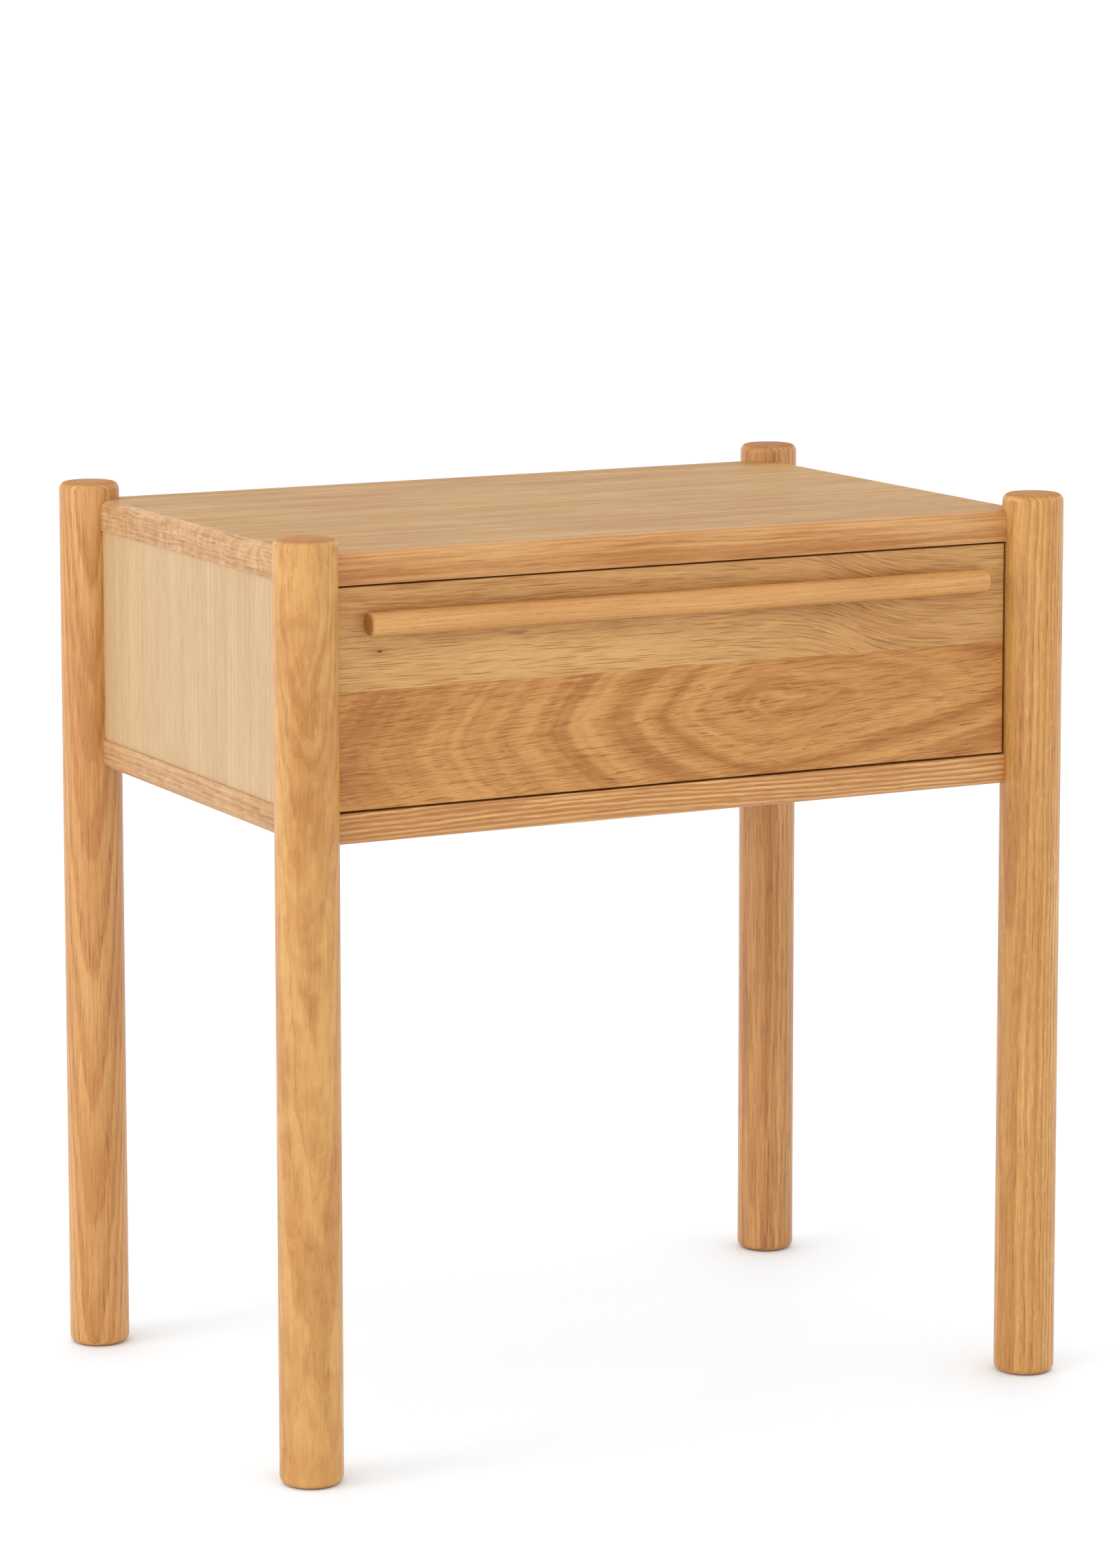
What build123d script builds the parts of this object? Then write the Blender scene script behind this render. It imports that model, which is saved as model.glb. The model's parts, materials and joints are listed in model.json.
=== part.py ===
"""Oak bedside table: round posts, a lipped case between them and one drawer on ball-bearing slides.

Millimetres. +Z is up, the drawer opens towards -Y, and the origin is on the floor under the middle.
"""

import os
from math import sqrt

from build123d import *

# Overall sizes
leg_d = 40.0
leg_r = leg_d / 2
leg_h = 590.0
leg_end_round = 5.0
leg_span_x = 522.0
leg_span_y = 350.0
leg_x = leg_span_x / 2
leg_y = leg_span_y / 2

# Case
panel_t = 20.0
case_bottom = 398.0
bay_bottom = case_bottom + panel_t
bay_top = 559.0
case_top = bay_top + panel_t
lipping_w = 8.0
veneer_t = 0.6
top_round = 6.0
bottom_round = 7.0
side_setback = 1.3
side_t = 18.0
bay_half = leg_x - side_setback - side_t
back_t = 8.0
back_front_y = 150.0
back_rear_y = back_front_y + back_t
groove_depth = 5.0
groove_end_gap = 0.4
glue_gap = 0.05
cope_r = leg_r + glue_gap

# Drawer front and pull
front_gap = 1.2
front_t = 18.0
front_half = leg_x - leg_r - front_gap
front_face_y = -leg_y + 1.0
front_rear_y = front_face_y + front_t
front_bottom = bay_bottom + front_gap
front_top = bay_top - front_gap
front_joint_z = 493.0
front_ease = 0.8
pull_r = 7.5
pull_len = 444.0
pull_seat = 0.5
pull_y = front_face_y - pull_r + pull_seat
pull_z = 535.0
pull_end_round = 2.5

# Drawer box
slide_w = 12.7
box_half = bay_half - slide_w
box_t = 12.0
box_inner = box_half - box_t
box_bottom = 430.0
box_top = 522.0
box_len = 300.0
box_rear_y = front_rear_y + box_len
box_rim_round = 2.0
base_t = 6.0
base_z = 438.0
base_groove = 6.0

# Ball-bearing slide, in u (from the case wall towards the drawer) and w (from the slide's middle)
slide_z = 476.0
steel_t = 1.2
slide_front_y = front_rear_y + 2.0
slide_rear_y = slide_front_y + 300.0
outer_half_w = 22.5
outer_u = 10.2
outer_lip_w = 18.2
middle_u0 = 3.0
middle_u1 = 11.4
middle_half_w = 17.3
middle_lip_w = 13.2
middle_setback = 2.0
inner_u0 = 6.0
inner_half_w = 12.1
ball_r = 1.7
cage_t = 0.8
cage_len = 120.0
ball_pitch = 20.0
balls_per_row = 6
outer_ball_u = 6.0
outer_ball_w = 19.3
outer_cage_u = (1.7, 8.5)
outer_cage_y = -10.0
inner_ball_u = 7.9
inner_ball_w = 14.1
inner_cage_u = (4.7, 9.9)
inner_cage_y = 0.0

# Dowels and screws
dowel_r = 4.0
dowel_chamfer = 0.2  # share of the dowel's radius
corner_dowel_start = 8.0
corner_dowel_len = 40.0
side_dowel_offset = 8.8
side_dowel_in_leg = 12.0
side_dowel_len = 36.0
side_dowel_z = (455.0, 520.0)
small_dowel_r = 3.0
small_dowel_in_side = 6.0
small_dowel_len = 24.0
small_dowel_z = (452.0, 500.0)
screw_r = 2.0
screw_head_r = 4.0
screw_head_h = 2.0
sink_angle = 90.0
pull_screw_len = 25.0
pull_screw_x = (-150.0, 0.0, 150.0)
front_screw_len = 25.0
front_screw_x = (-150.0, 150.0)
front_screw_z = (456.0, 508.0)
pan_head_r = 3.5
pan_head_h = 1.1
pan_shank_r = 1.75
outer_screw_y = (-146.0, 78.0, 134.0)
outer_screw_len = 13.0
inner_screw_y = (-140.0, 0.0, 130.0)
inner_screw_len = 10.7
hole_gap = 0.05
recess_w = 0.8
recess_depth = 1.6
pan_recess_depth = 0.8

corners = {
    "front_left": (-1, -1),
    "front_right": (1, -1),
    "back_left": (-1, 1),
    "back_right": (1, 1),
}
sides = {"left": -1, "right": 1}


def save(part, name):
    """Label one finished node and write it as STEP."""
    part.label = name
    export_step(part, f"parts/{name}.step")


def leg_axes():
    """Places of the four leg axes on the floor."""
    return [(sx * leg_x, sy * leg_y) for sx, sy in corners.values()]


def corner_plane(sx, sy, reach, z, towards_leg):
    """A plane across the 45 degree line from a leg into the case, at a distance from the leg's axis."""
    step = reach / sqrt(2)
    way = 1 if towards_leg else -1
    return Plane(
        origin=(sx * (leg_x - step), sy * (leg_y - step), z),
        x_dir=(0, 0, 1),
        z_dir=(way * sx, way * sy, 0),
    )


def corner_dowel_heights():
    """Heights of the dowels that join the legs to the bottom and top boards."""
    return (case_bottom + panel_t / 2, bay_top + panel_t / 2)


def side_dowel_plane(sx, sy, z, towards_leg):
    """A plane across a side dowel, at its end inside the leg."""
    way = sy if towards_leg else -sy
    drop = sqrt(leg_r**2 - side_dowel_offset**2) - side_dowel_in_leg
    return Plane(
        origin=(sx * (leg_x - side_dowel_offset), sy * (leg_y - drop), z),
        x_dir=(0, 0, 1),
        z_dir=(0, way, 0),
    )


def leg(sx, sy):
    """One round post with rounded ends and blind sockets for its four dowels."""
    with BuildPart() as post:
        with BuildSketch():
            with Locations((sx * leg_x, sy * leg_y)):
                Circle(leg_r)
        extrude(amount=leg_h)
        fillet(post.edges().filter_by(GeomType.CIRCLE), leg_end_round)
        corner_sockets = [
            corner_plane(sx, sy, corner_dowel_start - groove_end_gap, z, False)
            for z in corner_dowel_heights()
        ]
        with BuildSketch(*corner_sockets):
            Circle(dowel_r + hole_gap)
        extrude(amount=leg_r, mode=Mode.SUBTRACT)
        side_sockets = [side_dowel_plane(sx, sy, z, False).offset(-groove_end_gap) for z in side_dowel_z]
        with BuildSketch(*side_sockets):
            Circle(dowel_r + hole_gap)
        extrude(amount=leg_r, mode=Mode.SUBTRACT)
    return post.part


def dowels(planes, radius, length):
    """Chamfered dowels, one on each plane, running along the plane's normal."""
    with BuildPart() as pins:
        with BuildSketch(*planes):
            Circle(radius)
        extrude(amount=length)
        chamfer(pins.edges().filter_by(GeomType.CIRCLE), radius * dowel_chamfer)
    return pins.part


def board_core(bottom, top, groove_from):
    """Top or bottom board inside its lippings, coped to the legs and grooved for the back panel."""
    with BuildPart() as core:
        with BuildSketch(Plane.XY.offset(bottom)):
            Rectangle(leg_span_x - 2 * lipping_w, leg_span_y - 2 * lipping_w)
            with Locations(*leg_axes()):
                Circle(cope_r, mode=Mode.SUBTRACT)
        extrude(amount=top - bottom)
        with BuildSketch(Plane.XY.offset(groove_from)):
            with Locations((0, (back_front_y + back_rear_y) / 2)):
                Rectangle(2 * (bay_half + groove_depth), back_t + 2 * glue_gap)
        extrude(amount=groove_depth, mode=Mode.SUBTRACT)
        sockets = [
            corner_plane(sx, sy, corner_dowel_start + corner_dowel_len + groove_end_gap, z, True)
            for sx, sy in corners.values()
            for z in corner_dowel_heights()
            if bottom < z < top
        ]
        with BuildSketch(*sockets):
            Circle(dowel_r + hole_gap)
        extrude(amount=corner_dowel_len, mode=Mode.SUBTRACT)
    return core.part


def edge_plane(name):
    """A plane across one case edge: x runs inwards from the outer face and y is height."""
    if name == "front":
        return Plane(origin=(-leg_x, -leg_y, 0), x_dir=(0, 1, 0), z_dir=(1, 0, 0)), leg_span_x
    if name == "back":
        return Plane(origin=(leg_x, leg_y, 0), x_dir=(0, -1, 0), z_dir=(-1, 0, 0)), leg_span_x
    if name == "left":
        return Plane(origin=(-leg_x, leg_y, 0), x_dir=(1, 0, 0), z_dir=(0, -1, 0)), leg_span_y
    return Plane(origin=(leg_x, -leg_y, 0), x_dir=(-1, 0, 0), z_dir=(0, 1, 0)), leg_span_y


def top_lipping(name):
    """Solid edge strip of the top board, rounded above, with a step for the veneer."""
    plane, length = edge_plane(name)
    arc_mid = top_round * (1 - 1 / sqrt(2))
    with BuildPart() as strip:
        with BuildSketch(plane):
            with BuildLine():
                Polyline(
                    (0, case_top - top_round),
                    (0, bay_top),
                    (lipping_w, bay_top),
                    (lipping_w, case_top - veneer_t),
                    (top_round, case_top - veneer_t),
                    (top_round, case_top),
                )
                ThreePointArc(
                    (top_round, case_top),
                    (arc_mid, case_top - arc_mid),
                    (0, case_top - top_round),
                )
            make_face()
        extrude(amount=length)
        with BuildSketch(Plane.XY.offset(bay_top)):
            with Locations(*leg_axes()):
                Circle(cope_r)
        extrude(amount=panel_t, mode=Mode.SUBTRACT)
    return strip.part


def bottom_lipping(name):
    """Solid edge strip of the bottom board, rounded below."""
    plane, length = edge_plane(name)
    arc_mid = bottom_round * (1 - 1 / sqrt(2))
    with BuildPart() as strip:
        with BuildSketch(plane):
            with BuildLine():
                Polyline(
                    (0, case_bottom + bottom_round),
                    (0, bay_bottom),
                    (lipping_w, bay_bottom),
                    (lipping_w, case_bottom),
                    (bottom_round, case_bottom),
                )
                ThreePointArc(
                    (bottom_round, case_bottom),
                    (arc_mid, case_bottom + arc_mid),
                    (0, case_bottom + bottom_round),
                )
            make_face()
        extrude(amount=length)
        with BuildSketch(Plane.XY.offset(case_bottom)):
            with Locations(*leg_axes()):
                Circle(cope_r)
        extrude(amount=panel_t, mode=Mode.SUBTRACT)
    return strip.part


def top_veneer():
    """Thin oak face of the top board, ending where the rounded edge begins."""
    with BuildPart() as sheet:
        with BuildSketch(Plane.XY.offset(case_top - veneer_t)):
            Rectangle(leg_span_x - 2 * top_round, leg_span_y - 2 * top_round)
            with Locations(*leg_axes()):
                Circle(cope_r, mode=Mode.SUBTRACT)
        extrude(amount=veneer_t)
    return sheet.part


def side_veneer(side):
    """Thin oak outer face of a side panel, coped to the legs."""
    with BuildPart() as sheet:
        with BuildSketch(Plane.XY.offset(bay_bottom)):
            with Locations((side * (leg_x - side_setback - veneer_t / 2), 0)):
                Rectangle(veneer_t, leg_span_y)
            with Locations(*leg_axes()):
                Circle(cope_r, mode=Mode.SUBTRACT)
        extrude(amount=bay_top - bay_bottom)
    return sheet.part


def side_panel(side):
    """Side panel between the boards: coped ends, dowel sockets, back groove and slide screw holes."""
    thickness = side_t - veneer_t
    with BuildPart() as panel:
        with BuildSketch(Plane.XY.offset(bay_bottom)):
            with Locations((side * (bay_half + thickness / 2), 0)):
                Rectangle(thickness, leg_span_y)
            with Locations(*leg_axes()):
                Circle(cope_r, mode=Mode.SUBTRACT)
            with Locations((side * bay_half, (back_front_y + back_rear_y) / 2)):
                Rectangle(2 * groove_depth, back_t + 2 * glue_gap, mode=Mode.SUBTRACT)
        extrude(amount=bay_top - bay_bottom)
        sockets = [
            side_dowel_plane(side, sy, z, True).offset(-side_dowel_len - groove_end_gap)
            for sy in (-1, 1)
            for z in side_dowel_z
        ]
        with BuildSketch(*sockets):
            Circle(dowel_r + hole_gap)
        extrude(amount=side_dowel_len, mode=Mode.SUBTRACT)
        with BuildSketch(*case_screw_planes(side, 0)):
            Circle(pan_shank_r + hole_gap)
        extrude(amount=-outer_screw_len, mode=Mode.SUBTRACT)
    return panel.part


def back_panel():
    """Back panel, held in grooves of the boards and side panels."""
    reach = groove_depth - groove_end_gap
    with BuildPart() as panel:
        with BuildSketch(Plane.XY.offset(bay_bottom - reach)):
            with Locations((0, (back_front_y + back_rear_y) / 2)):
                Rectangle(2 * (bay_half + reach), back_t)
        extrude(amount=bay_top - bay_bottom + 2 * reach)
    return panel.part


def flat_screw(length):
    """Countersunk wood screw, its head flush with Z = 0."""
    tip = 2 * screw_r
    with BuildPart() as body:
        with BuildSketch(Plane.XZ):
            with BuildLine():
                Polyline(
                    (0, 0),
                    (screw_head_r, 0),
                    (screw_r, -screw_head_h),
                    (screw_r, -length + tip),
                    (0, -length),
                    (0, 0),
                )
            make_face()
        revolve(axis=Axis.Z)
        with BuildSketch():
            Rectangle(screw_head_r, recess_w)
            Rectangle(recess_w, screw_head_r)
        extrude(amount=-recess_depth, mode=Mode.SUBTRACT)
    return body.part


def pan_screw(length):
    """Low-headed slide screw: the head stands on Z = 0 and the shank runs down -Z."""
    tip = 2 * pan_shank_r
    with BuildPart() as body:
        with BuildSketch(Plane.XZ):
            with BuildLine():
                Polyline(
                    (0, pan_head_h),
                    (pan_head_r, pan_head_h),
                    (pan_head_r, 0),
                    (pan_shank_r, 0),
                    (pan_shank_r, -length + tip),
                    (0, -length),
                    (0, pan_head_h),
                )
            make_face()
        revolve(axis=Axis.Z)
        with BuildSketch(Plane.XY.offset(pan_head_h)):
            Rectangle(pan_head_r, recess_w)
            Rectangle(recess_w, pan_head_r)
        extrude(amount=-pan_recess_depth, mode=Mode.SUBTRACT)
    return body.part


def screws(planes, one):
    """Copies of one screw, one standing on each plane."""
    with BuildPart() as group:
        with Locations(*planes):
            add(one)
    return group.part


def pull_screw_planes():
    """Planes on the rear of the drawer front, at the pull's screws."""
    return [Plane(origin=(x, front_rear_y, pull_z), x_dir=(1, 0, 0), z_dir=(0, 1, 0)) for x in pull_screw_x]


def front_screw_planes():
    """Planes on the rear of the drawer's inner front, at the screws that hold the front boards."""
    return [
        Plane(origin=(x, front_rear_y + box_t, z), x_dir=(1, 0, 0), z_dir=(0, 1, 0))
        for x in front_screw_x
        for z in front_screw_z
    ]


def across_slide(side, u, y, w, faces_case):
    """A plane at u from the case wall, y along the slide and w above its middle, facing case or drawer."""
    way = side if faces_case else -side
    return Plane(origin=(side * (bay_half - u), y, slide_z + w), x_dir=(0, 1, 0), z_dir=(way, 0, 0))


def case_screw_planes(side, u):
    """Planes under the heads of the screws that hold the outer slide member to the case."""
    return [across_slide(side, u, y, 0, False) for y in outer_screw_y]


def drawer_screw_planes(side, u):
    """Planes under the heads of the screws that hold the inner slide member to the drawer."""
    return [across_slide(side, u, y, 0, True) for y in inner_screw_y]


def slide_bars(side, bars, y_front, y_rear):
    """Strips of bent sheet along the slide, each given as (u from, u to, w from, w to)."""
    with BuildPart() as strips:
        with BuildSketch(Plane.XZ.offset(-y_rear)):
            for u0, u1, w0, w1 in bars:
                with Locations((side * (bay_half - (u0 + u1) / 2), slide_z + (w0 + w1) / 2)):
                    Rectangle(u1 - u0, w1 - w0)
        extrude(amount=y_rear - y_front)
    return strips.part


def outer_member(side):
    """Case member of a slide: a deep channel whose lips keep the outer balls in, with screw holes."""
    flange_w = outer_half_w - steel_t
    bars = [
        (0, steel_t, -outer_half_w, outer_half_w),
        (0, outer_u, flange_w, outer_half_w),
        (0, outer_u, -outer_half_w, -flange_w),
        (outer_u - steel_t, outer_u, outer_lip_w, outer_half_w),
        (outer_u - steel_t, outer_u, -outer_half_w, -outer_lip_w),
    ]
    with BuildPart() as member:
        add(slide_bars(side, bars, slide_front_y, slide_rear_y))
        with BuildSketch(*case_screw_planes(side, steel_t)):
            Circle(pan_shank_r + hole_gap)
        extrude(amount=-steel_t, mode=Mode.SUBTRACT)
    return member.part


def middle_member(side):
    """Middle member of a slide, carried by the outer balls and carrying the inner ones."""
    flange_w = middle_half_w - steel_t
    bars = [
        (middle_u0, middle_u0 + steel_t, -middle_half_w, middle_half_w),
        (middle_u0, middle_u1, flange_w, middle_half_w),
        (middle_u0, middle_u1, -middle_half_w, -flange_w),
        (middle_u1 - steel_t, middle_u1, middle_lip_w, middle_half_w),
        (middle_u1 - steel_t, middle_u1, -middle_half_w, -middle_lip_w),
    ]
    return slide_bars(side, bars, slide_front_y + middle_setback, slide_rear_y - middle_setback)


def inner_member(side):
    """Drawer member of a slide: a shallow channel screwed to the drawer side."""
    flange_w = inner_half_w - steel_t
    bars = [
        (slide_w - steel_t, slide_w, -inner_half_w, inner_half_w),
        (inner_u0, slide_w, flange_w, inner_half_w),
        (inner_u0, slide_w, -inner_half_w, -flange_w),
    ]
    with BuildPart() as member:
        add(slide_bars(side, bars, slide_front_y, box_rear_y))
        with BuildSketch(*drawer_screw_planes(side, slide_w - steel_t)):
            Circle(pan_shank_r + hole_gap)
        extrude(amount=-steel_t, mode=Mode.SUBTRACT)
    return member.part


def ball_places(side, ball_u, ball_w, cage_y):
    """Centres of one cage's balls: an upper and a lower row along the slide."""
    first = cage_y - ball_pitch * (balls_per_row - 1) / 2
    return [
        (side * (bay_half - ball_u), first + i * ball_pitch, slide_z + w)
        for w in (-ball_w, ball_w)
        for i in range(balls_per_row)
    ]


def ball_cage(side, cage_u, ball_u, ball_w, cage_y):
    """Thin channel that keeps two rows of balls apart, with a round hole for each ball."""
    u0, u1 = cage_u
    top = ball_w + cage_t / 2
    bars = [
        (u0, u0 + cage_t, -top, top),
        (u0, u1, top - cage_t, top),
        (u0, u1, -top, -top + cage_t),
    ]
    with BuildPart() as cage:
        add(slide_bars(side, bars, cage_y - cage_len / 2, cage_y + cage_len / 2))
        with BuildSketch(Plane.XY.offset(slide_z - top)):
            with Locations(*{(x, y) for x, y, _ in ball_places(side, ball_u, ball_w, cage_y)}):
                Circle(ball_r + hole_gap)
        extrude(amount=2 * top, mode=Mode.SUBTRACT)
    return cage.part


def balls(side, ball_u, ball_w, cage_y):
    """The balls that one cage holds."""
    with BuildPart() as group:
        with Locations(*ball_places(side, ball_u, ball_w, cage_y)):
            Sphere(ball_r)
    return group.part


def front_board(bottom, top, joint_edge):
    """One board of the drawer front; every front edge but the glued one is eased."""
    with BuildPart() as board:
        with BuildSketch(Plane.XZ.offset(-front_rear_y)):
            with Locations((0, (bottom + top) / 2)):
                Rectangle(2 * front_half, top - bottom)
        extrude(amount=front_t)
        front_edges = board.faces().sort_by(Axis.Y)[0].edges().sort_by(Axis.Z)
        fillet(front_edges[1:] if joint_edge == "lower" else front_edges[:-1], front_ease)
        held = [p for p in front_screw_planes() if bottom < p.origin.Z < top]
        with BuildSketch(*held):
            Circle(screw_r + hole_gap)
        extrude(amount=-front_screw_len - hole_gap, mode=Mode.SUBTRACT)
        through = [p for p in pull_screw_planes() if bottom < p.origin.Z < top]
        if through:
            with Locations(*through):
                CounterSinkHole(screw_r + hole_gap, screw_head_r + hole_gap, counter_sink_angle=sink_angle)
    return board.part


def pull():
    """Long dowel pull with rounded ends, seated on the front by a narrow flat."""
    with BuildPart() as bar:
        with BuildSketch(Plane.YZ.offset(-pull_len / 2)):
            with Locations((pull_y, pull_z)):
                Circle(pull_r)
        extrude(amount=pull_len)
        fillet(bar.edges().filter_by(GeomType.CIRCLE), pull_end_round)
        split(bisect_by=Plane.XZ.offset(-front_face_y), keep=Keep.TOP)
        with BuildSketch(*pull_screw_planes()):
            Circle(screw_r + hole_gap)
        extrude(amount=-pull_screw_len - hole_gap, mode=Mode.SUBTRACT)
    return bar.part


def small_dowel_planes(side):
    """Planes at the outer ends of the dowels that join one drawer side to the inner front and back."""
    return [
        Plane(origin=(side * (box_inner + small_dowel_in_side), y, z), x_dir=(0, 1, 0), z_dir=(-side, 0, 0))
        for y in (front_rear_y + box_t / 2, box_rear_y - box_t / 2)
        for z in small_dowel_z
    ]


def drawer_side(side):
    """Drawer side with a rounded rim, a groove for the base, and dowel and slide screw holes."""
    with BuildPart() as board:
        with BuildSketch(Plane.XY.offset(box_bottom)):
            with Locations((side * (box_half + box_inner) / 2, (front_rear_y + box_rear_y) / 2)):
                Rectangle(box_t, box_len)
        extrude(amount=box_top - box_bottom)
        rim = board.faces().sort_by(Axis.Z)[-1].edges().filter_by(Axis.Y)
        fillet(rim, box_rim_round)
        with BuildSketch(Plane.XZ.offset(-box_rear_y)):
            with Locations((side * box_inner, base_z + base_t / 2)):
                Rectangle(2 * base_groove, base_t + 2 * glue_gap)
        extrude(amount=box_len, mode=Mode.SUBTRACT)
        with BuildSketch(*small_dowel_planes(side)):
            Circle(small_dowel_r + hole_gap)
        extrude(amount=small_dowel_in_side, mode=Mode.SUBTRACT)
        with BuildSketch(*drawer_screw_planes(side, slide_w)):
            Circle(pan_shank_r + hole_gap)
        extrude(amount=-inner_screw_len, mode=Mode.SUBTRACT)
    return board.part


def drawer_end(y_front, groove_y, screwed):
    """Inner front or back of the drawer box, grooved for the base and bored for the dowels."""
    with BuildPart() as board:
        with BuildSketch(Plane.XY.offset(box_bottom)):
            with Locations((0, y_front + box_t / 2)):
                Rectangle(2 * box_inner, box_t)
        extrude(amount=box_top - box_bottom)
        rim = board.faces().sort_by(Axis.Z)[-1].edges().filter_by(Axis.X)
        fillet(rim, box_rim_round)
        with BuildSketch(Plane.XY.offset(base_z - glue_gap)):
            with Locations((0, groove_y)):
                Rectangle(2 * box_inner, 2 * base_groove)
        extrude(amount=base_t + 2 * glue_gap, mode=Mode.SUBTRACT)
        sockets = [
            p
            for side in sides.values()
            for p in small_dowel_planes(side)
            if y_front < p.origin.Y < y_front + box_t
        ]
        with BuildSketch(*sockets):
            Circle(small_dowel_r + hole_gap)
        extrude(amount=small_dowel_len + groove_end_gap, mode=Mode.SUBTRACT)
        if screwed:
            with Locations(*front_screw_planes()):
                CounterSinkHole(screw_r + hole_gap, screw_head_r + hole_gap, counter_sink_angle=sink_angle)
    return board.part


def drawer_base():
    """Thin base of the drawer, held in grooves all round."""
    reach = base_groove - groove_end_gap
    length = box_len - 2 * box_t + 2 * reach
    with BuildPart() as base:
        with BuildSketch(Plane.XY.offset(base_z)):
            with Locations((0, (front_rear_y + box_rear_y) / 2)):
                Rectangle(2 * (box_inner + reach), length)
        extrude(amount=base_t)
    return base.part


def build_case():
    """Everything that stands still."""
    for name, (sx, sy) in corners.items():
        save(leg(sx, sy), f"{name}_leg")
    save(board_core(bay_top, case_top - veneer_t, bay_top), "top_board")
    save(top_veneer(), "top_veneer")
    save(board_core(case_bottom, bay_bottom, bay_bottom - groove_depth), "bottom_board")
    for name in ("front", "back", "left", "right"):
        save(top_lipping(name), f"top_{name}_lipping")
        save(bottom_lipping(name), f"bottom_{name}_lipping")
    for name, side in sides.items():
        save(side_panel(side), f"{name}_side_panel")
        save(side_veneer(side), f"{name}_side_veneer")
        save(outer_member(side), f"{name}_slide_outer_member")
    save(back_panel(), "back_panel")
    corner_planes = [
        corner_plane(sx, sy, corner_dowel_start, z, False)
        for sx, sy in corners.values()
        for z in corner_dowel_heights()
    ]
    save(dowels(corner_planes, dowel_r, corner_dowel_len), "corner_dowels")
    side_planes = [side_dowel_plane(sx, sy, z, False) for sx, sy in corners.values() for z in side_dowel_z]
    save(dowels(side_planes, dowel_r, side_dowel_len), "side_panel_dowels")
    case_planes = [p for side in sides.values() for p in case_screw_planes(side, steel_t)]
    save(screws(case_planes, pan_screw(outer_screw_len)), "case_slide_screws")


def build_slides():
    """The parts of each slide that move between case and drawer."""
    for name, side in sides.items():
        save(middle_member(side), f"{name}_slide_middle_member")
        outer = (outer_ball_u, outer_ball_w, outer_cage_y)
        inner = (inner_ball_u, inner_ball_w, inner_cage_y)
        save(ball_cage(side, outer_cage_u, *outer), f"{name}_outer_ball_cage")
        save(balls(side, *outer), f"{name}_outer_balls")
        save(ball_cage(side, inner_cage_u, *inner), f"{name}_inner_ball_cage")
        save(balls(side, *inner), f"{name}_inner_balls")


def build_drawer():
    """Everything that moves with the drawer."""
    save(front_board(front_joint_z, front_top, "lower"), "drawer_front_upper_board")
    save(front_board(front_bottom, front_joint_z, "upper"), "drawer_front_lower_board")
    save(pull(), "drawer_pull")
    save(screws(pull_screw_planes(), flat_screw(pull_screw_len)), "pull_screws")
    save(screws(front_screw_planes(), flat_screw(front_screw_len)), "drawer_front_screws")
    inner_front_y = front_rear_y
    back_y = box_rear_y - box_t
    save(drawer_end(inner_front_y, inner_front_y + box_t, True), "drawer_inner_front")
    save(drawer_end(back_y, back_y, False), "drawer_back")
    save(drawer_base(), "drawer_base")
    for name, side in sides.items():
        save(drawer_side(side), f"{name}_drawer_side")
        save(inner_member(side), f"{name}_slide_inner_member")
    pins = [p for side in sides.values() for p in small_dowel_planes(side)]
    save(dowels(pins, small_dowel_r, small_dowel_len), "drawer_dowels")
    drawer_planes = [p for side in sides.values() for p in drawer_screw_planes(side, slide_w - steel_t)]
    save(screws(drawer_planes, pan_screw(inner_screw_len)), "drawer_slide_screws")


os.makedirs("parts", exist_ok=True)
build_case()
build_slides()
build_drawer()
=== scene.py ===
"""Looks of an oak bedside table: round posts, a lipped case and one drawer with a dowel pull.

Metres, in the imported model's own frame: +Z is up and the drawer opens towards -Y. The finishes work
in millimetres, and so do the fields of every class but Studio.
"""

import json
import logging
import math
from dataclasses import dataclass, replace
from enum import Enum
from typing import Callable, Sequence, Union

import bmesh
import bpy
from bpy.types import Material, Mesh, Node, NodeSocket, Object
from mathutils import Matrix, Vector


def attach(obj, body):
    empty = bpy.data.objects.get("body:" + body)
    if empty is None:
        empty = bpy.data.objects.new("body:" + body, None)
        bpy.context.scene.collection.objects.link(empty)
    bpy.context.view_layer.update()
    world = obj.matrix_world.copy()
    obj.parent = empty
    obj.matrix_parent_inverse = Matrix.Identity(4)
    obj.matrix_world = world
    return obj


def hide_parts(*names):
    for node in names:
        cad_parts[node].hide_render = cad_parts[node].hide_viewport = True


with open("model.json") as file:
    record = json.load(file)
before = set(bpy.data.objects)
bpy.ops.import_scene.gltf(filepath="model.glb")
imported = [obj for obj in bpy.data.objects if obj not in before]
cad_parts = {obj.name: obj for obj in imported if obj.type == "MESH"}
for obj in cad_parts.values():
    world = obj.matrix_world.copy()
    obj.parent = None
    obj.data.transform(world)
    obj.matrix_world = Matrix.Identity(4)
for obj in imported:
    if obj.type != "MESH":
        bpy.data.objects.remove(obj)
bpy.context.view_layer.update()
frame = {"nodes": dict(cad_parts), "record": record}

log = logging.getLogger("bedside_table")

Colour = tuple[float, float, float]
Pair = tuple[float, float]
Triple = tuple[float, float, float]
MM = 0.001


# ---- node trees


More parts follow.
